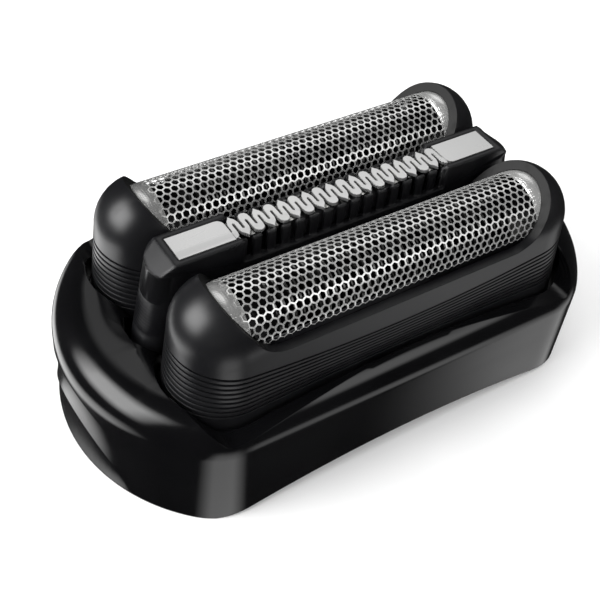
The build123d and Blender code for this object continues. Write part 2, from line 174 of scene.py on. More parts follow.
def combined(tree, operation, first, second):
    """Join two values by a sum, a product or another operation."""
    node = add_node(tree, "ShaderNodeMath", operation=operation)
    tree.links.new(first, node.inputs[0])
    tree.links.new(second, node.inputs[1])
    return node.outputs["Value"]


def finish(name, dark, light, rough, grain, streak_along, metal=0.0, edge=0.0, dots=0.0):
    """Make a finish from two tones, a roughness range, (scale, depth) of the grain and a streak."""
    material = bpy.data.materials.new(name)
    material.use_nodes = True
    tree = material.node_tree
    shader = tree.nodes["Principled BSDF"]
    shader.inputs["Metallic"].default_value = metal
    coordinates = add_node(tree, "ShaderNodeTexCoord").outputs["Object"]

    patches = noise_in(tree, coordinates, patch_scale)
    tones = add_node(tree, "ShaderNodeValToRGB")
    tones.color_ramp.elements[0].position = tone_from
    tones.color_ramp.elements[0].color = (*dark, 1.0)
    tones.color_ramp.elements[1].position = tone_to
    tones.color_ramp.elements[1].color = (*light, 1.0)
    tree.links.new(patches, tones.inputs["Fac"])
    tree.links.new(tones.outputs["Color"], shader.inputs["Base Color"])

    streaks = noise_in(tree, coordinates, streak_scale, streak_detail, streak_along)
    worn = ranged(tree, streaks, streak_from, streak_to, 0.0, (rough[1] - rough[0]) * streak_share)
    roughness = ranged(tree, patches, rough_from, rough_to, rough[0], rough[1])
    tree.links.new(combined(tree, "ADD", roughness, worn), shader.inputs["Roughness"])

    bump = add_node(tree, "ShaderNodeBump")
    bump.inputs["Strength"].default_value = bump_strength
    bump.inputs["Distance"].default_value = grain[1]
    height = noise_in(tree, coordinates, grain[0])
    if dots:
        pits = add_node(tree, "ShaderNodeTexVoronoi")
        pits.inputs["Scale"].default_value = dots
        pits.inputs["Randomness"].default_value = 0.0
        tree.links.new(coordinates, pits.inputs["Vector"])
        height = ranged(tree, pits.outputs["Distance"], pit_from, pit_to, 0.0, 1.0)
    tree.links.new(height, bump.inputs["Height"])
    if edge:
        rounding = add_node(tree, "ShaderNodeBevel", samples=edge_samples)
        rounding.inputs["Radius"].default_value = edge
        tree.links.new(rounding.outputs["Normal"], bump.inputs["Normal"])
    tree.links.new(bump.outputs["Normal"], shader.inputs["Normal"])
    return material


along_x = (0.04, 1.0, 1.0)
along_z = (1.0, 1.0, 0.05)
frame_gloss = finish("frame_gloss", (0.0012, 0.0012, 0.0015), (0.0028, 0.0028, 0.0032),
                     (0.10, 0.15), (2500.0, 0.001 * mm), along_x, edge=0.15 * mm)
carrier_satin = finish("carrier_satin", (0.004, 0.004, 0.005), (0.009, 0.009, 0.010), (0.26, 0.34),
                       (9000.0, 0.004 * mm), along_x, edge=0.12 * mm)
trimmer_satin = finish("trimmer_satin", (0.004, 0.004, 0.005), (0.009, 0.009, 0.010), (0.26, 0.34),
                       (9000.0, 0.004 * mm), along_x, edge=0.5 * mm)
window_matte = finish("window_matte", (0.003, 0.003, 0.003), (0.006, 0.006, 0.006), (0.55, 0.65),
                      (9000.0, 0.006 * mm), along_x, edge=0.12 * mm)
inner_grey = finish("inner_grey", (0.02, 0.02, 0.022), (0.035, 0.035, 0.037), (0.42, 0.55),
                    (7000.0, 0.008 * mm), along_z, edge=0.1 * mm)
foil_steel = finish("foil_steel", (0.70, 0.70, 0.69), (0.84, 0.84, 0.83), (0.20, 0.30),
                    (5000.0, 0.003 * mm), along_x, metal=0.75)
band_steel = finish("band_steel", (0.70, 0.70, 0.69), (0.84, 0.84, 0.83), (0.16, 0.26),
                    (5000.0, 0.02 * mm), along_x, metal=0.8, dots=3600.0)
comb_steel = finish("comb_steel", (0.66, 0.66, 0.66), (0.80, 0.80, 0.79), (0.22, 0.32),
                    (6000.0, 0.002 * mm), along_x, metal=0.9)
# Blade steel gets dark tones: painted shade for the shade that falls on the blades under the foil.
blade_steel = finish("blade_steel", (0.16, 0.16, 0.16), (0.28, 0.28, 0.27), (0.30, 0.42),
                     (5000.0, 0.003 * mm), along_z, metal=1.0)
spring_steel = finish("spring_steel", (0.42, 0.42, 0.41), (0.58, 0.58, 0.56), (0.25, 0.38),
                      (5000.0, 0.003 * mm), along_x, metal=1.0)
print("finishes:", len(bpy.data.materials))

# %% [markdown]
# ## Adding pieces
# Every new piece is a mesh at the origin, in metres, that rides on the body it belongs to and hides
# the CAD node it stands in for. One helper does that for all of them. Another shades a piece smooth
# up to a turn, in degrees, beyond which an edge stays sharp.

# %% A piece
sharp_turn = 33
facet_turn = 28


def made_mesh(name, mesh_edit):
    """Turn a bmesh into a mesh."""
    mesh = bpy.data.meshes.new(name)
    mesh_edit.to_mesh(mesh)
    mesh_edit.free()
    return mesh


def add_piece(name, mesh_edit, material, body, node):
    """Make an object from a bmesh, ride it on a body and hide the CAD node it stands in for."""
    mesh = made_mesh(name, mesh_edit)
    mesh.materials.append(material)
    piece = linked(name, mesh)
    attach(piece, body)
    if node:
        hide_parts(node)
    print(name, "has", len(mesh.polygons), "faces")
    return piece


def shade_round(piece, limit):
    """Shade a piece smooth, but keep edges sharp that turn by more than a limit in degrees."""
    piece.data.shade_smooth()
    piece.data.set_sharp_from_angle(angle=math.radians(limit))
    weights = piece.modifiers.new("flat_faces_first", "WEIGHTED_NORMAL")
    weights.keep_sharp = True


# %% [markdown]
# ## Tracing a plan
# The frame and the carriers are tall walls over a plan that is the same in all four quarters. So a
# quarter of the plan is traced by dragging one corner along straight runs and round centres, and
# two mirrors close it. Each corner remembers its place on the plan and its outward direction, and
# keeps them when the loop is extruded, so that any row of the wall can be set from them.


# %% Plans and rows
def distinct(parts):
    """Give mesh parts once each, in a fixed order."""
    return list(dict.fromkeys(parts))


def corners_of(parts):
    """Pick the corners out of mesh parts."""
    return [part for part in parts if isinstance(part, bmesh.types.BMVert)]


def open_edges_of(parts):
    """Pick the edges that have one face only out of mesh parts."""
    edges = [part for part in parts if isinstance(part, bmesh.types.BMEdge)]
    return [edge for edge in edges if len(edge.link_faces) == 1]


def add_copy(edit, parts, shift):
    """Copy mesh parts and move the copy."""
    copy = bmesh.ops.duplicate(edit, geom=parts)["geom"]
    bmesh.ops.translate(edit, verts=corners_of(copy), vec=shift)


def make_solid(edit, shift):
    """Extrude a flat outline along a shift into a closed solid."""
    grown = bmesh.ops.extrude_face_region(edit, geom=edit.faces[:])["geom"]
    bmesh.ops.translate(edit, verts=corners_of(grown), vec=shift)
    bmesh.ops.recalc_face_normals(edit, faces=edit.faces)


def traced_plan(edit, start, moves):
    """Trace a quarter of a plan, mirror it into a closed loop, and give the loop's edges."""
    tip = edit.verts.new(start)
    traced = [tip]
    for kind, where, amount, steps in moves:
        for _ in range(steps):
            if kind == "run":
                dragged = bmesh.ops.extrude_vert_indiv(edit, verts=[tip])["verts"]
                bmesh.ops.translate(edit, verts=dragged, vec=Vector(where) / steps)
            else:
                swung = bmesh.ops.spin(
                    edit, geom=[tip], cent=where, axis=(0, 0, 1), angle=amount / steps, steps=1,
                )
                dragged = corners_of(swung["geom_last"])
            tip = dragged[0]
            traced.append(tip)
    for axis in ("X", "Y"):
        edges = distinct(edge for corner in traced for edge in corner.link_edges)
        copy = bmesh.ops.mirror(edit, geom=traced + edges, axis=axis, merge_dist=0.001 * mm)
        traced += corners_of(copy["geom"])
        traced = [corner for corner in distinct(traced) if corner.is_valid]
    return distinct(edge for corner in traced for edge in corner.link_edges)


def remember_plan(edit, edges):
    """Store each corner's place on the plan and its outward direction."""
    place = edit.verts.layers.float_vector.new("plan_place")
    outward = edit.verts.layers.float_vector.new("plan_outward")
    for corner in distinct(corner for edge in edges for corner in edge.verts):
        before, after = (edge.other_vert(corner).co for edge in corner.link_edges)
        along = (after - before).normalized()
        across = Vector((along.y, -along.x, 0.0))
        corner[place] = corner.co
        corner[outward] = across if across.dot(corner.co) > 0 else -across


def forget_plan(edit):
    """Remove what the corners remember of the plan."""
    for name in ("plan_place", "plan_outward"):
        edit.verts.layers.float_vector.remove(edit.verts.layers.float_vector[name])


def add_row(edit, edges, height_and_inset, reach=0.0):
    """Extrude a loop once, set the new row by a rule for height and inset, and stretch its ends."""
    place = edit.verts.layers.float_vector["plan_place"]
    outward = edit.verts.layers.float_vector["plan_outward"]
    grown = bmesh.ops.extrude_edge_only(edit, edges=edges)["geom"]
    for corner in corners_of(grown):
        height, inset = height_and_inset(corner[place], corner[outward])
        corner.co = corner[place] - corner[outward] * inset
        corner.co.x += math.copysign(reach, corner.co.x)
        corner.co.z = height
    return open_edges_of(grown)


# %% [markdown]
# ## The outer frame
# The frame is one glossy black moulding: an upright wall, two crescent grips that are scooped into
# each end, a rolled shoulder, and a deck with an opening of three lobes. The deck is level at the
# ends and dips to a shallow arch along the sides. A glossy piece shows every flaw of its mesh, so
# it is built row by row, with an edge along each real edge.

# %% Frame sizes
frame_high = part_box("outer_frame")[1]
frame_half_length = frame_high.x
frame_half_width = frame_high.y
frame_top = frame_high.z
frame_end_radius = 20.0 * mm
frame_corner_radius = 8.0 * mm
shoulder_radius = 3.6 * mm
shoulder_base = frame_top - shoulder_radius
shoulder_rows = 10
shoulder_halvings = 40
frame_wall = 1.6 * mm
deck_underside = 9.8 * mm
deck_cuts = 10
saddle_height = 11.4 * mm
saddle_rise = 1.8 * mm
saddle_half_length = 21.5 * mm
saddle_end = 24.7 * mm
arch_height = 2.2 * mm
arch_half_length = 23.0 * mm
grip_step = 0.45 * mm
grip_half_width = 9.3 * mm
grip_fade_start = grip_half_width * 0.8
grip_fade_length = grip_half_width * 0.25
scoop_steps = 6
upper_grip_crown, upper_grip_side = 9.6 * mm, 6.6 * mm
lower_grip_crown, lower_grip_side = 5.8 * mm, 0.8 * mm
step_height = 0.03 * mm
catch_size = Vector((6.0, 1.2, 0.6)) * mm
catch_x, catch_z = 11.0 * mm, 1.3 * mm

end_centre_x = frame_half_length - frame_end_radius
corner_centre_y = frame_half_width - frame_corner_radius
radius_drop = frame_end_radius - frame_corner_radius
corner_centre_x = end_centre_x + math.sqrt(radius_drop ** 2 - corner_centre_y ** 2)
end_sweep = math.atan2(corner_centre_y, corner_centre_x - end_centre_x)
print("end arc sweeps", round(math.degrees(end_sweep), 1), "degrees to each side")

# %% [markdown]
# Each row of the frame follows a rule that gives its height and its inset from the plan. The rules
# bring the grips to nothing on the sides, and end the shoulder where it meets the deck.


# %% Heights and insets of the frame's rows
def arched(position, reach, low, high):
    """Give the height of a shallow arch at a place along its length."""
    share = min(abs(position) / reach, 1.0)
    return low + (high - low) * (1.0 - share * share)


def wall_foot(x):
    """Give the height of the lower edge of the wall."""
    return arched(x, arch_half_length, 0.0, arch_height)


def deck_height(x):
    """Give the height of the deck, or of the arched lip along the sides."""
    x = abs(x)
    if x < saddle_half_length:
        return arched(x, saddle_half_length, saddle_height, saddle_height + saddle_rise)
    rise = min((x - saddle_half_length) / (saddle_end - saddle_half_length), 1.0)
    return saddle_height + rise * rise * (3.0 - 2.0 * rise) * (frame_top - saddle_height)


def grip_fade(place):
    """Give how much of a grip is left at a place: all on the end, none on the sides."""
    if abs(place.x) < corner_centre_x:
        return 0.0
    share = (abs(place.y) - grip_fade_start) / grip_fade_length
    return 1.0 - max(0.0, min(1.0, share))


def wall_row(line, inset):
    """Make a rule for a wall row from its height on the end and its inset there."""
    def rule(place, outward):
        foot = wall_foot(place.x)
        raised = foot + line(place.y) * (shoulder_base - foot) / shoulder_base
        return raised, inset * grip_fade(place)
    return rule


def lower_line(y):
    """Give the height of the lower grip's upper edge."""
    return arched(y, grip_half_width, lower_grip_side, lower_grip_crown)


def upper_line(y):
    """Give the height of the upper grip's upper edge."""
    return arched(y, grip_half_width, upper_grip_side, upper_grip_crown)


def scoop_rows(low_line, high_line):
    """Make the rules of a scooped grip: out at its lower edge, in and upright at its upper one."""
    rules = []
    for number in range(1, scoop_steps + 1):
        share = number / scoop_steps
        line = lambda y, share=share: low_line(y) + (high_line(y) - low_line(y)) * share
        rules.append(wall_row(line, grip_step * (2.0 * share - share * share)))
    return rules


def shoulder_turn(place, outward):
    """Find by halving how far the shoulder turns over before it meets the deck."""
    low, high = 0.0, shoulder_radius
    for _ in range(shoulder_halvings):
        inset = (low + high) / 2
        top = deck_height(place.x - outward.x * inset)
        level = min(1.0, (top - shoulder_base) / shoulder_radius)
        if shoulder_radius * (1.0 - math.sqrt(1.0 - level * level)) > inset:
            low = inset
        else:
            high = inset
    return math.acos(1.0 - low / shoulder_radius)


def shoulder_row(share):
    """Make a rule for a row of the rolled shoulder, as a share of its turn up to the deck."""
    def rule(place, outward):
        angle = shoulder_turn(place, outward) * share
        height = shoulder_base + shoulder_radius * math.sin(angle)
        return height, shoulder_radius * (1.0 - math.cos(angle))
    return rule


# %% [markdown]
# The outline of the foot is traced first, with more corners where the grips fade. Then the wall
# grows up from it: the lower grip, the step, the upper grip, the plain wall and the shoulder.

# %% The frame's wall and shoulder
shell = bmesh.new()
first_sweep = math.radians(9.2)
second_sweep = math.radians(20.2)
foot_edges = traced_plan(shell, (frame_half_length, 0.0, 0.0), (
    ("arc", (end_centre_x, 0.0, 0.0), first_sweep, 10),
    ("arc", (end_centre_x, 0.0, 0.0), second_sweep, 8),
    ("arc", (end_centre_x, 0.0, 0.0), end_sweep - first_sweep - second_sweep, 8),
    ("arc", (corner_centre_x, corner_centre_y, 0.0), math.pi / 2 - end_sweep, 8),
    ("run", (-corner_centre_x, 0.0, 0.0), 0.0, 24),
))
remember_plan(shell, foot_edges)
for corner in shell.verts:
    corner.co.z = wall_foot(corner.co.x)
wall_rules = scoop_rows(lambda y: 0.0, lower_line)
wall_rules.append(wall_row(lambda y: lower_line(y) + step_height, 0.0))
wall_rules += scoop_rows(lambda y: lower_line(y) + step_height, upper_line)
wall_rules.append(wall_row(lambda y: upper_line(y) + step_height, 0.0))
wall_rules.append(wall_row(lambda y: shoulder_base, 0.0))
row_edges = foot_edges
for rule in wall_rules:
    row_edges = add_row(shell, row_edges, rule)
for number in range(shoulder_rows):
    row_edges = add_row(shell, row_edges, shoulder_row((number + 1) / shoulder_rows))
shoulder_edges = row_edges
print("wall and shoulder:", len(shell.faces), "faces")

# %% [markdown]
# The opening leaves a little room round the carriers and the trimmer. The deck is bridged from the
# shoulder to it, divided and set to its height. Inside, the wall goes down to the foot, and four
# catches stand on it where the CAD has them.

# %% The opening, the deck and the hollow below it
carrier_low, carrier_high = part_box("front_foil_carrier")
trimmer_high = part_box("trimmer_body")[1]
foil_low, foil_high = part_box("front_foil")
foil_axis_y = (foil_low.y + foil_high.y) / 2
float_clearance = 0.3 * mm
foot_reach = 0.8 * mm
lobe_radius = foil_axis_y - carrier_low.y + float_clearance
lobe_centre_x = carrier_high.x - foot_reach + float_clearance - lobe_radius
lobe_centre_y = -foil_axis_y
slot_half_width = trimmer_high.y + float_clearance
slot_end = trimmer_high.x - foot_reach + float_clearance
slot_corner = 1.8 * mm
cusp_turn = math.asin((lobe_centre_y - slot_half_width) / lobe_radius)
cusp_x = lobe_centre_x + lobe_radius * math.cos(cusp_turn)

opening_edges = traced_plan(shell, (slot_end, 0.0, 0.0), (
    ("run", (0.0, slot_half_width - slot_corner, 0.0), 0.0, 2),
    ("arc", (slot_end - slot_corner, slot_half_width - slot_corner, 0.0), math.pi / 2, 6),
    ("run", (cusp_x - slot_end + slot_corner, 0.0, 0.0), 0.0, 2),
    ("arc", (lobe_centre_x, lobe_centre_y, 0.0), cusp_turn, 8),
    ("arc", (lobe_centre_x, lobe_centre_y, 0.0), math.pi / 2, 16),
    ("run", (-lobe_centre_x, 0.0, 0.0), 0.0, 24),
))
for corner in distinct(corner for edge in opening_edges for corner in edge.verts):
    corner.co.z = deck_height(corner.co.x)
deck = bmesh.ops.bridge_loops(shell, edges=shoulder_edges + opening_edges)
deck_edges = distinct(edge for face in deck["faces"] for edge in face.edges)
loop_edges = set(shoulder_edges + opening_edges)
cross_edges = [edge for edge in deck_edges if edge not in loop_edges]
divided = bmesh.ops.subdivide_edges(shell, edges=cross_edges, cuts=deck_cuts, use_grid_fill=True)
for corner in corners_of(divided["geom_inner"] + divided["geom_split"]):
    corner.co.z = deck_height(corner.co.x)

lowered = bmesh.ops.extrude_edge_only(shell, edges=opening_edges)["geom"]
for corner in corners_of(lowered):
    corner.co.z = deck_underside
lowered_edges = open_edges_of(lowered)
rim_edges = add_row(shell, foot_edges, lambda place, outward: (wall_foot(place.x), frame_wall))
hollow_edges = add_row(shell, rim_edges, lambda place, outward: (deck_underside, frame_wall))
bmesh.ops.bridge_loops(shell, edges=hollow_edges + lowered_edges)
for side_x in (-1, 1):
    for side_y in (-1, 1):
        catch = bmesh.ops.create_cube(shell, size=1.0)["verts"]
        catch_place = (side_x * catch_x, side_y * (frame_half_width - frame_wall), catch_z)
        bmesh.ops.scale(shell, vec=catch_size, verts=catch)
        bmesh.ops.translate(shell, vec=catch_place, verts=catch)
bmesh.ops.recalc_face_normals(shell, faces=shell.faces)
forget_plan(shell)
print("open edges left:", sum(1 for edge in shell.edges if len(edge.link_faces) != 2))
outer_frame = add_piece(
    "outer_frame_shell", shell, frame_gloss, "frame", "outer_frame",
)
shade_round(outer_frame, sharp_turn)

# %% [markdown]
# ## The foil carriers
# Each foil sits in a satin carrier whose ends are rounded like finger tips and whose sides have
# fine ribs, spread at the ends and drawn together at mid length. The carrier is a tall loop again:
# rows in and out make the ribs, rows that turn over make the hoods. The window and the seat of the
# foil are cut out of that solid with Boolean modifiers, because they cross the rows at a slant.

# %% Carrier sizes
foil_radius = (foil_high.y - foil_low.y) / 2
foil_axis = Vector((0.0, foil_axis_y, foil_high.z - foil_radius))
foil_half_length = foil_high.x
foil_leg = foil_axis.z - foil_low.z
foil_sides = (("front", foil_axis.y), ("rear", -foil_axis.y))
seat_clearance = 0.05 * mm
carrier_wall = 1.05 * mm
carrier_flare = 0.9 * mm
carrier_radius = foil_radius + seat_clearance + carrier_wall
carrier_dome_x = carrier_high.x - foot_reach - carrier_flare - carrier_radius
carrier_foot = carrier_low.z
carrier_flange = 1.0 * mm
hood_rows = 14
hood_turn = math.radians(88)
window_floor_half, window_ridge_half, window_slope = 16.0 * mm, 20.2 * mm, 4.2 * mm
window_drop, window_corner = 0.25 * mm, 2.0 * mm
seat_overrun = 1.0 * mm
cut_tries = 12
rib_count = 9
rib_depth = 0.28 * mm
rib_reach = 25.5 * mm
rib_end_drop, rib_end_pitch, rib_end_groove = 0.8 * mm, 0.74 * mm, 0.30 * mm
rib_middle_drop, rib_middle_pitch, rib_middle_groove = 2.9 * mm, 0.40 * mm, 0.17 * mm
print("carrier radius", round(carrier_radius / mm, 2), "axis at", in_mm(foil_axis, 2))

# %% [markdown]
# The ribs fall and close up towards mid length, so the rule of a rib row depends on where along the
# carrier it is. The hood rows turn over a round back, and the side by the trimmer is cut flat.


# %% Rows of a carrier
def rib_height(x, number, groove):
    """Give the height of a groove's upper or lower edge at a place along the carrier."""
    at_end = foil_axis.z - rib_end_drop - number * rib_end_pitch - groove * rib_end_groove
    below = rib_middle_drop + number * rib_middle_pitch + groove * rib_middle_groove
    at_middle = foil_axis.z - below
    share = min(abs(x) / rib_reach, 1.0)
    return at_middle + (at_end - at_middle) * share * share


def flared(height):
    """Give the inset of the carrier's wall at a height, which is negative where it flares out."""
    return -carrier_flare * (foil_axis.z - height) / (foil_axis.z - carrier_foot)


def rib_row(number, groove, depth):
    """Make a rule for one edge of a groove between two ribs."""
    def rule(place, outward):
        height = rib_height(place.x, number, groove)
        return height, flared(height) + depth
    return rule


def hood_row(angle):
    """Make a rule for a row of the hood that is turned over by an angle."""
    height = foil_axis.z + carrier_radius * math.sin(angle)
    inset = carrier_radius * (1.0 - math.cos(angle))
    return lambda place, outward: (height, inset)


def carrier_solid():
    """Build the solid of the front carrier, without its window."""
    solid = bmesh.new()
    edges = traced_plan(solid, (carrier_dome_x + carrier_radius, 0.0, 0.0), (
        ("arc", (carrier_dome_x, 0.0, 0.0), math.pi / 2, 20),
        ("run", (-carrier_dome_x, 0.0, 0.0), 0.0, 20),
    ))
    remember_plan(solid, edges)
    flange_top = carrier_foot + carrier_flange
    outline = solid.verts[:]
    edges = add_row(solid, edges, lambda place, outward: (carrier_foot, -carrier_flare), foot_reach)
    bmesh.ops.delete(solid, geom=outline, context="VERTS")
    bmesh.ops.edgeloop_fill(solid, edges=edges)
    edges = add_row(solid, edges, lambda place, outward: (flange_top, -carrier_flare), foot_reach)
    edges = add_row(solid, edges, lambda place, outward: (flange_top, flared(flange_top)))
    for number in reversed(range(rib_count)):
        for groove, depth in ((1, 0.0), (1, rib_depth), (0, rib_depth), (0, 0.0)):
            edges = add_row(solid, edges, rib_row(number, groove, depth))
    for number in range(hood_rows):
        edges = add_row(solid, edges, hood_row(hood_turn * number / (hood_rows - 1)))
    bmesh.ops.edgeloop_fill(solid, edges=edges)
    flat_side = trimmer_high.y + float_clearance
    for corner in solid.verts:
        corner.co.y = min(corner.co.y + foil_axis.y, -flat_side)
    forget_plan(solid)
    bmesh.ops.recalc_face_normals(solid, faces=solid.faces)
    return solid


# %% [markdown]
# Two more solids do the cutting: a prism for the window, and a tunnel for the seat of the foil. Now
# and then the solver leaves faces across the window. Their edges have a third face, so that shows,
# and the cut is made again.


# %% The window and the seat
def window_cutter():
    """Build the prism that cuts the window: low along the foil, sloped up over the hoods."""
    floor_height = foil_axis.z - window_drop
    roof_height = foil_axis.z + 2 * carrier_radius
    prism = bmesh.new()
    roof_half = window_ridge_half + window_slope
    outline = (
        (-window_floor_half, floor_height), (window_floor_half, floor_height),
        (roof_half, roof_height), (-roof_half, roof_height),
    )
    corners = [prism.verts.new((x, -4 * carrier_radius, z)) for x, z in outline]
    prism.faces.new(corners)
    bmesh.ops.bevel(
        prism, geom=corners[:2], offset=window_corner, offset_type="OFFSET", segments=8,
        profile=0.5, affect="VERTICES", material=-1,
    )
    make_solid(prism, (0.0, 6 * carrier_radius, 0.0))
    return prism


def seat_cutter():
    """Build the tunnel in which the foil sits, open to below."""
    radius = foil_radius + seat_clearance
    reach = foil_half_length + seat_clearance
    tunnel = bmesh.new()
    start = tunnel.verts.new((-reach, foil_axis.y - radius, carrier_foot - seat_overrun))
    up = bmesh.ops.extrude_vert_indiv(tunnel, verts=[start])["verts"][0]
    up.co.z = foil_axis.z
    over = bmesh.ops.spin(
        tunnel, geom=[up], cent=(-reach, foil_axis.y, foil_axis.z), axis=(-1, 0, 0),
        angle=math.pi, steps=32,
    )["geom_last"]
    far = corners_of(over)[0]
    down = bmesh.ops.extrude_vert_indiv(tunnel, verts=[far])["verts"][0]
    down.co.z = start.co.z
    tunnel.edges.new((down, start))
    bmesh.ops.edgeloop_fill(tunnel, edges=tunnel.edges[:])
    make_solid(tunnel, (2 * reach, 0.0, 0.0))
    return tunnel


def cut_out(solid, cutters):
    """Cut solids out of a solid with Boolean modifiers and give the result as a bmesh."""
    objects = [linked("cutting", made_mesh("cutting", shape)) for shape in [solid] + cutters]
    for cutter in objects[1:]:
        cut = objects[0].modifiers.new("cut", "BOOLEAN")
        cut.operation = "DIFFERENCE"
        cut.solver = "EXACT"
        cut.object = cutter
    bpy.context.view_layer.update()
    ready = objects[0].evaluated_get(bpy.context.evaluated_depsgraph_get())
    result = bmesh.new()
    result.from_mesh(ready.data)
    for part in objects:
        mesh = part.data
        bpy.data.objects.remove(part)
        bpy.data.meshes.remove(mesh)
    return result


def whole_carrier():
    """Cut the front carrier, and cut it again if faces are left across its window."""
    for attempt in range(1, cut_tries + 1):
        carrier = cut_out(carrier_solid(), [window_cutter(), seat_cutter()])
        if all(len(edge.link_faces) < 3 for edge in carrier.edges):
            print("carrier cut at attempt", attempt)
            return carrier
        carrier.free()
    raise RuntimeError("the window of a carrier could not be cut")


# %% [markdown]
# The rear carrier is the front one, mirrored. The slanted faces that look in over the ends of each
# foil are matt, so that they stay dark round the bright steel.

# %% The two carriers
ramp_skew, ramp_rise, ramp_lean = 0.05, 0.4, 0.6
for side in ("front", "rear"):
    carrier_edit = whole_carrier()
    if side == "rear":
        bmesh.ops.scale(carrier_edit, vec=(1.0, -1.0, 1.0), verts=carrier_edit.verts)
        bmesh.ops.reverse_faces(carrier_edit, faces=carrier_edit.faces)
    node = side + "_foil_carrier"
    carrier = add_piece(
        node + "_shell", carrier_edit, carrier_satin, side + "_element", node,
    )
    shade_round(carrier, sharp_turn)
    carrier.data.materials.append(window_matte)
    for face in carrier.data.polygons:
        looks_in = face.normal.x * face.center.x < 0 and abs(face.normal.y) < ramp_skew
        slanted = face.normal.z > ramp_rise and abs(face.normal.x) > ramp_lean
        face.material_index = int(looks_in and slanted)
    print(carrier.name, "matt faces:", sum(face.material_index for face in carrier.data.polygons))

# %% [markdown]
# ## The trimmer body
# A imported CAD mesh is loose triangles. A copy whose corners are merged can be worked on like any
# other mesh. The body of the trimmer needs only rounded corners on its sloped end facets and the
# fine grooves across the lower half of its end posts, so those are made on such a copy.

# %% Trimmer body
post_end, post_end_radius, post_corner = 22.3 * mm, 4.0 * mm, 1.8 * mm
facet_from_x, facet_from_z, facet_cuts = 20.2 * mm, 21.0 * mm, 6
merge_distance, flat_turn = 0.002 * mm, math.radians(1)
trimmer_edit = bmesh.new()
trimmer_edit.from_mesh(frame["nodes"]["trimmer_body"].data)
bmesh.ops.remove_doubles(trimmer_edit, verts=trimmer_edit.verts, dist=merge_distance)
bmesh.ops.dissolve_limit(
    trimmer_edit, angle_limit=flat_turn, verts=trimmer_edit.verts, edges=trimmer_edit.edges,
)
corner_middle = Vector((post_end - post_corner, trimmer_high.y - post_corner))
facet_edges = [
    edge for edge in trimmer_edit.edges
    if all(abs(corner.co.x) > facet_from_x and corner.co.z > facet_from_z for corner in edge.verts)
]
bmesh.ops.subdivide_edges(trimmer_edit, edges=facet_edges, cuts=facet_cuts)
for corner in trimmer_edit.verts:
    if corner.co.z < facet_from_z or abs(corner.co.x) < facet_from_x:
        continue
    spot = Vector((abs(corner.co.x), abs(corner.co.y)))
    past = spot - corner_middle
    if past.x > 0 and past.y > 0 and past.length > post_corner:
        spot = corner_middle + past.normalized() * post_corner
    end_bow = math.sqrt(post_end_radius ** 2 - spot.y ** 2)
    spot.x = min(spot.x, post_end - post_end_radius + end_bow)
    corner.co.x = math.copysign(spot.x, corner.co.x)
    corner.co.y = math.copysign(spot.y, corner.co.y)
print("facet edges rounded:", len(facet_edges))

# %% [markdown]
# A groove is three level cuts across the end faces, with the middle one pushed in.

# %% Grooves across the end posts
groove_count = 11
groove_low, groove_pitch = 14.0 * mm, 0.40 * mm
groove_half_width, groove_depth = 0.11 * mm, 0.11 * mm
end_face_x, groove_from_x = 20.6 * mm, 21.5 * mm
for number in range(groove_count):
    for offset in (-1, 1, 0):
        height = groove_low + number * groove_pitch + offset * groove_half_width
        ends = [
            face for face in trimmer_edit.faces if abs(face.calc_center_median().x) > end_face_x
        ]
        around = distinct(part for face in ends for part in list(face.verts) + list(face.edges))
        cut = bmesh.ops.bisect_plane(
            trimmer_edit, geom=ends + around,
            plane_co=(0.0, 0.0, height), plane_no=(0.0, 0.0, 1.0),
        )["geom_cut"]
        if offset == 0:
            for corner in corners_of(cut):
                if abs(corner.co.x) > groove_from_x:
                    corner.co.x -= math.copysign(groove_depth, corner.co.x)
trimmer_body = add_piece(
    "trimmer_body_shell", trimmer_edit, trimmer_satin, "trimmer_element", "trimmer_body",
)
trimmer_body.data.shade_smooth()
trimmer_body.data.set_sharp_from_angle(angle=math.radians(facet_turn))

# %% [markdown]
# ## The foils
# A shaving foil is a sheet of steel that is pierced like a honeycomb, with bars far thinner than
# the holes, and left whole at its ends. It is drawn flat first: hexagons side by side, each inset
# by half a bar, and the middles deleted. The flat sheet is then rolled over the cutter.

# %% Foil sizes
hole_pitch = 0.86 * mm
hole_bar = 0.17 * mm
hole_columns = 42
hole_rows = 17
sheet_thickness = 0.06 * mm
band_steps, ledge_steps = 48, 10
print("foil radius", round(foil_radius / mm, 2), "half length", round(foil_half_length / mm, 2))


# %% Rolling a flat sheet
def roll(sheet, radius, centre):
    """Bend a flat sheet, whose Y runs along the arc, over a round back with straight legs."""
    quarter = radius * math.pi / 2
    for corner in sheet.verts:
        arc = max(-quarter, min(quarter, corner.co.y))
        leg = abs(corner.co.y) - abs(arc)
        angle = arc / radius
        height = centre.z + radius * math.cos(angle) - leg
        corner.co = Vector((corner.co.x, centre.y + radius * math.sin(angle), height))


def honeycomb(columns, rows, pitch, bar):
    """Draw a flat honeycomb of bars round six-sided holes, about the origin."""
    comb = bmesh.new()
    cell = bmesh.ops.create_circle(comb, segments=6, radius=pitch / math.sqrt(3), cap_ends=True)
    first = distinct(face for corner in cell["verts"] for face in corner.link_faces)
    row_step = pitch * math.sqrt(3) / 2
    for row in range(rows):
        for column in range(columns - row % 2):
            along = (column - (columns - 1 - row % 2) / 2) * pitch
            across = (row - (rows - 1) / 2) * row_step
            add_copy(comb, first, (along, across, 0.0))
    bmesh.ops.delete(comb, geom=first, context="FACES")
    bmesh.ops.remove_doubles(comb, verts=comb.verts, dist=pitch * 0.02)
    cells = comb.faces[:]
    bmesh.ops.inset_individual(comb, faces=cells, thickness=bar / 2, use_even_offset=True)
    bmesh.ops.delete(comb, geom=cells, context="FACES")
    return comb


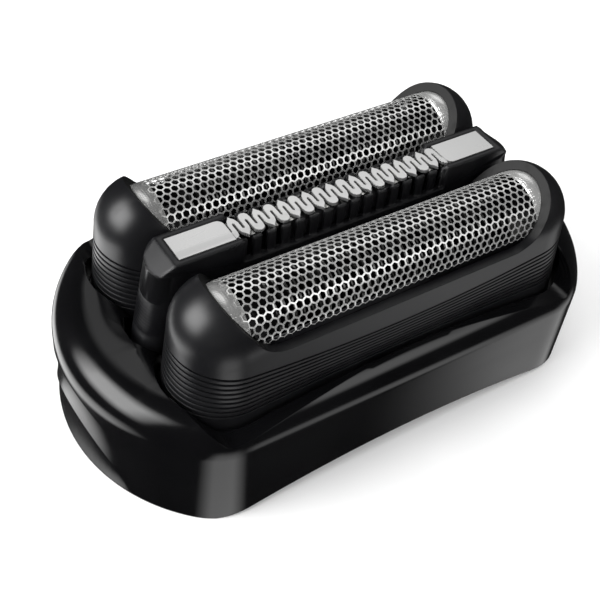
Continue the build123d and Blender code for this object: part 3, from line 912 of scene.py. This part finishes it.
def plain_strip(sheet, low_x, high_x, low_y, high_y, steps):
    """Add a flat strip to a sheet, cut into steps across so that it can be rolled."""
    strip = bmesh.ops.create_grid(sheet, x_segments=1, y_segments=steps, size=0.5)
    size = (high_x - low_x, high_y - low_y, 1.0)
    middle = ((low_x + high_x) / 2, (low_y + high_y) / 2, 0.0)
    bmesh.ops.scale(sheet, vec=size, verts=strip["verts"])
    bmesh.ops.translate(sheet, vec=middle, verts=strip["verts"])


# %% [markdown]
# Each foil is three sheets: the pierced one, the plain bands at its ends, and the dark ledges along
# its sides. The plain sheets lie a hair lower, so that no two faces share a place.

# %% The pierced sheets and their plain margins
band_from = (hole_columns - 1) / 2 * hole_pitch
margin_from = (hole_rows - 1) / 2 * hole_pitch * math.sqrt(3) / 2
sheet_half_width = foil_radius * math.pi / 2 + foil_leg
margin_sink = 0.015 * mm


def add_sheet(name, flat, radius, centre, material, body, node):
    """Roll a flat sheet over its centre and give it a thickness."""
    roll(flat, radius, centre)
    bmesh.ops.recalc_face_normals(flat, faces=flat.faces)
    if sum(face.normal.z for face in flat.faces) < 0:
        bmesh.ops.reverse_faces(flat, faces=flat.faces)
    sheet = add_piece(name, flat, material, body, node)
    wall = sheet.modifiers.new("sheet_thickness", "SOLIDIFY")
    wall.thickness = sheet_thickness
    wall.offset = -1.0
    return sheet


for side, centre_y in foil_sides:
    centre = Vector((0.0, centre_y, foil_axis.z))
    element = side + "_element"
    pierced = honeycomb(hole_columns, hole_rows, hole_pitch, hole_bar)
    add_sheet(
        side + "_foil_mesh", pierced, foil_radius, centre, foil_steel, element, side + "_foil",
    )

    bands = bmesh.new()
    ledges = bmesh.new()
    for end in (-1, 1):
        low_x, high_x = sorted((end * band_from, end * foil_half_length))
        plain_strip(bands, low_x, high_x, -sheet_half_width, sheet_half_width, band_steps)
        low_y, high_y = sorted((end * margin_from, end * sheet_half_width))
        plain_strip(ledges, -band_from, band_from, low_y, high_y, ledge_steps)
    band_radius = foil_radius - margin_sink
    band = add_sheet(
        side + "_foil_band", bands, band_radius, centre, band_steel, element, None,
    )
    band.data.shade_smooth()
    ledge = add_sheet(
        side + "_foil_ledge", ledges, band_radius, centre, carrier_satin, element, None,
    )
    ledge.data.shade_smooth()

# %% [markdown]
# ## The cutter blades
# Under each foil runs a pack of thin arched blades, seen only as dark glints through the holes.
# Their steel is painted dark: painted shade for the shade that falls under the foil.
# One blade is a disc cut off at the seat and given a thickness, and the rest are copies of it.

# %% Blades
blade_low, blade_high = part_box("front_cutter_blades")
blade_radius = blade_high.z - foil_axis.z
blade_thickness = 0.2 * mm
blade_sides = 56
blade_pitch = 0.95 * mm
blade_count = 1 + int((blade_high.x - blade_low.x) / blade_pitch)
first_blade_x = -(blade_count - 1) / 2 * blade_pitch
print("blades in a pack:", blade_count)

for side, centre_y in foil_sides:
    pack = bmesh.new()
    bmesh.ops.create_circle(pack, segments=blade_sides, radius=blade_radius, cap_ends=True)
    upright = Matrix.Rotation(math.pi / 2, 3, "Y")
    bmesh.ops.rotate(pack, verts=pack.verts, matrix=upright)
    bmesh.ops.translate(pack, verts=pack.verts, vec=(0.0, centre_y, foil_axis.z))
    bmesh.ops.bisect_plane(
        pack, geom=pack.verts[:] + pack.edges[:] + pack.faces[:], clear_inner=True,
        plane_co=(0.0, centre_y, blade_low.z), plane_no=(0.0, 0.0, 1.0),
    )
    bmesh.ops.solidify(pack, geom=pack.faces[:], thickness=blade_thickness)
    one_blade = pack.verts[:] + pack.edges[:] + pack.faces[:]
    bmesh.ops.translate(pack, verts=pack.verts, vec=(first_blade_x, 0.0, 0.0))
    for number in range(1, blade_count):
        add_copy(pack, one_blade, (number * blade_pitch, 0.0, 0.0))
    bmesh.ops.recalc_face_normals(pack, faces=pack.faces)
    add_piece(
        side + "_blade_pack", pack, blade_steel, side + "_cutter", side + "_cutter_blades",
    )

# %% [markdown]
# ## The comb of the trimmer
# The comb is one strip of steel, bent to and fro like a meander between two plain end plates. Its
# bends are leaf-shaped, pointed and blunt in turn. Four bars make the pattern: each has half a
# leaf at its front and half a leaf at its rear, and copies of the four make the row.

# %% Comb sizes
comb_low, comb_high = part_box("trimmer_comb")
comb_half_width = comb_high.y
comb_bends = 18
comb_pitch = 1.48 * mm
comb_slit = 0.24 * mm
comb_web = 1.12 * mm
row_half_length = comb_bends * comb_pitch / 2
leaf_half_width = (comb_pitch - comb_slit) / 2
pointed_leaf = ((0.0, 0.0), (0.30, 0.30), (0.72, 0.62), (1.0, 1.15))
blunt_leaf = ((0.0, 0.12), (0.52, 0.20), (0.88, 0.48), (1.0, 0.95))
plate_corner = 0.8 * mm
stamped_radius = 0.04 * mm
print("row of bends:", round(2 * row_half_length / mm, 2), "mm long")


# %% One bar of the comb
def bar_outline(front_leaf, rear_leaf):
    """Give the outline of a bar from the tip of a front leaf to the tip of a rear one."""
    points = []
    for share, drop in front_leaf:
        points.append((share * leaf_half_width, -comb_half_width + drop * mm))
    points.append((leaf_half_width, comb_half_width - comb_web - comb_slit / 2))
    points.append((comb_pitch / 2, comb_half_width - comb_web))
    for share, drop in rear_leaf:
        points.append((comb_pitch / 2 - share * leaf_half_width, comb_half_width - drop * mm))
    points.append((comb_slit / 2, -comb_half_width + comb_web + comb_slit / 2))
    points.append((0.0, -comb_half_width + comb_web))
    return points


strip = bmesh.new()
pattern = (
    (blunt_leaf, pointed_leaf, 0.0, 1), (pointed_leaf, pointed_leaf, 1.0, -1),
    (pointed_leaf, blunt_leaf, 1.0, 1), (blunt_leaf, blunt_leaf, 2.0, -1),
)
for front_leaf, rear_leaf, shift, hand in pattern:
    start_x = shift * comb_pitch - row_half_length
    outline = bar_outline(front_leaf, rear_leaf)
    strip.faces.new([strip.verts.new((start_x + hand * x, y, comb_high.z)) for x, y in outline])
one_pattern = strip.verts[:] + strip.edges[:] + strip.faces[:]
for number in range(1, comb_bends // 2):
    add_copy(strip, one_pattern, (number * 2 * comb_pitch, 0.0, 0.0))
bmesh.ops.remove_doubles(strip, verts=strip.verts, dist=0.01 * mm)
print("comb bars:", len(strip.faces))

# %% [markdown]
# The plates have one rounded inner corner each. The flat strip then gets its thickness and the
# slightly rounded edge of a stamped sheet.

# %% The comb with its end plates
plate_length = comb_high.x - row_half_length
for end in (-1, 1):
    plate = bmesh.ops.create_grid(strip, x_segments=1, y_segments=1, size=0.5)["verts"]
    bmesh.ops.scale(strip, vec=(plate_length, 2 * comb_half_width, 1.0), verts=plate)
    plate_middle = end * (row_half_length + plate_length / 2)
    bmesh.ops.translate(strip, vec=(plate_middle, 0.0, comb_high.z), verts=plate)
    inner = [
        corner for corner in plate
        if corner.co.y * end < 0 and abs(corner.co.x) < abs(plate_middle)
    ]
    bmesh.ops.bevel(
        strip, geom=inner, offset=plate_corner, offset_type="OFFSET", segments=4, profile=0.5,
        affect="VERTICES", material=-1,
    )
for face in strip.faces:
    face.normal_update()
    if face.normal.z < 0:
        face.normal_flip()
comb = add_piece(
    "trimmer_comb_strip", strip, comb_steel, "trimmer_element", "trimmer_comb",
)
wall = comb.modifiers.new("strip_thickness", "SOLIDIFY")
wall.thickness = comb_high.z - comb_low.z
wall.offset = -1.0
rounding = comb.modifiers.new("stamped_edge", "BEVEL")
rounding.width = stamped_radius
rounding.segments = 2
rounding.limit_method = "ANGLE"
rounding.angle_limit = math.radians(60)

# %% [markdown]
# ## Finishes of the inner pieces
# The pieces that aren't built again keep their CAD shape. They get their finish by the material
# slot that the record names for them.

# %% Inner pieces
finish_of_slot = {
    "frame_plastic": frame_gloss,
    "carrier_plastic": carrier_satin,
    "inner_plastic": inner_grey,
    "foil_steel": foil_steel,
    # The dark tones of the blade steel are painted shade.
    "blade_steel": blade_steel,
    "spring_steel": spring_steel,
}
for row in frame["record"]["subparts"]:
    shape = frame["nodes"][row["node"]].data
    shape.materials.clear()
    shape.materials.append(finish_of_slot[row["material_slot"]])

# %% [markdown]
# ## The float springs
# Each floating element stands on two folded leaf springs. They shorten as the element sinks. Here
# each one is a copy of its CAD shape with a mesh of its own.

# %% Float springs
for joint in frame["record"]["behaviour"]["joints"]:
    for leaf in joint.get("deforming_nodes", []):
        leaf_edit = bmesh.new()
        leaf_edit.from_mesh(frame["nodes"][leaf["node"]].data)
        spring = add_piece(
            leaf["node"] + "_leaf", leaf_edit, spring_steel, "frame", leaf["node"],
        )
        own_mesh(spring)

# %% [markdown]
# ## Floor and light
# The head stands on a plain pale floor under soft boxes. Black plastic shows only what it
# reflects, so each box is placed where one form needs its highlight: the end shoulders and the
# domes see the left box, the plates the box behind, the long lip the box at the right. Low cards
# give the upright walls something to mirror.

# %% Floor
floor_half_length = 1.5
floor_edit = bmesh.new()
bmesh.ops.create_grid(floor_edit, x_segments=1, y_segments=1, size=floor_half_length)
floor_mesh = made_mesh("floor", floor_edit)
floor = linked("floor", floor_mesh)
floor_paper = finish("floor_paper", (0.88, 0.88, 0.88), (0.90, 0.90, 0.90), (0.8, 0.9),
                     (800.0, 0.01 * mm), along_x)
floor_mesh.materials.append(floor_paper)
floor.visible_glossy = False
print("floor:", 2 * floor_half_length, "m wide")

# %% [markdown]
# A soft box fades towards its edges, so that its mirror image has no hard outline. The floor isn't
# seen in mirrors, so the cards may lie below it.


# %% Soft boxes
fade_width = 0.3
sky_seen, sky_mirrored = 1.1, 0.03


def soft_box(name, start, direction, distance, width, height, brightness):
    """Place a light whose face fades to its edges, along a direction from a point that it faces."""
    light_data = bpy.data.lights.new(name, "AREA")
    light_data.shape = "RECTANGLE"
    light_data.size = width
    light_data.size_y = height
    light_data.energy = brightness * math.pi * width * height
    light_data.use_nodes = True
    tree = light_data.node_tree
    place = add_node(tree, "ShaderNodeSeparateXYZ")
    face_place = add_node(tree, "ShaderNodeNewGeometry").outputs["Parametric"]
    tree.links.new(face_place, place.inputs["Vector"])
    fades = []
    for axis in ("X", "Y"):
        hump = add_node(tree, "ShaderNodeMath", operation="PINGPONG")
        hump.inputs[1].default_value = 0.5
        tree.links.new(place.outputs[axis], hump.inputs[0])
        fades.append(ranged(tree, hump.outputs["Value"], 0.0, fade_width, 0.0, 1.0))
    strength = combined(tree, "MULTIPLY", fades[0], fades[1])
    tree.links.new(strength, tree.nodes["Emission"].inputs["Strength"])
    light = linked(name, light_data)
    away = Vector(direction).normalized()
    light.location = Vector(start) + away * distance
    light.rotation_euler = away.to_track_quat("Z", "Y").to_euler()


middle = (cad_low + cad_high) / 2
near_corner = Vector((cad_low.x * 0.78, cad_low.y * 0.85, 5.0 * mm))
left_end = Vector((cad_low.x, 0.0, 6.0 * mm))
right_end = Vector((cad_high.x * 0.8, cad_low.y, 5.0 * mm))
carrier_side = Vector((cad_low.x * 0.3, cad_low.y * 0.85, 15.0 * mm))
for name, start, direction, distance, width, height, brightness in (
    ("left_box", middle, (-0.80, 0.20, 0.50), 0.32, 0.34, 0.32, 7.5),
    ("back_box", middle, (0.42, 0.55, 0.72), 0.38, 0.36, 0.30, 0.9),
    ("right_box", middle, (0.42, -0.69, 0.53), 0.40, 0.22, 0.24, 1.8),
    ("corner_card", near_corner, (-0.13, -0.68, -0.72), 0.10, 0.08, 0.14, 1.3),
    ("end_card", left_end, (-0.62, 0.55, -0.55), 0.10, 0.24, 0.06, 2.7),
    ("right_card", right_end, (0.68, -0.34, -0.65), 0.10, 0.08, 0.10, 0.9),
    ("side_card", carrier_side, (0.42, -0.68, -0.50), 0.15, 0.14, 0.06, 1.0),
):
    soft_box(name, start, direction, distance, width, height, brightness)

world = bpy.data.worlds.new("studio")
bpy.context.scene.world = world
world.use_nodes = True
sky = world.node_tree.nodes["Background"]
sky.inputs["Color"].default_value = (1.0, 1.0, 1.0, 1.0)
sky_paths = add_node(world.node_tree, "ShaderNodeLightPath")
glossy_ray = sky_paths.outputs["Is Glossy Ray"]
sky_strength = ranged(world.node_tree, glossy_ray, 0.0, 1.0, sky_seen, sky_mirrored)
world.node_tree.links.new(sky_strength, sky.inputs["Strength"])
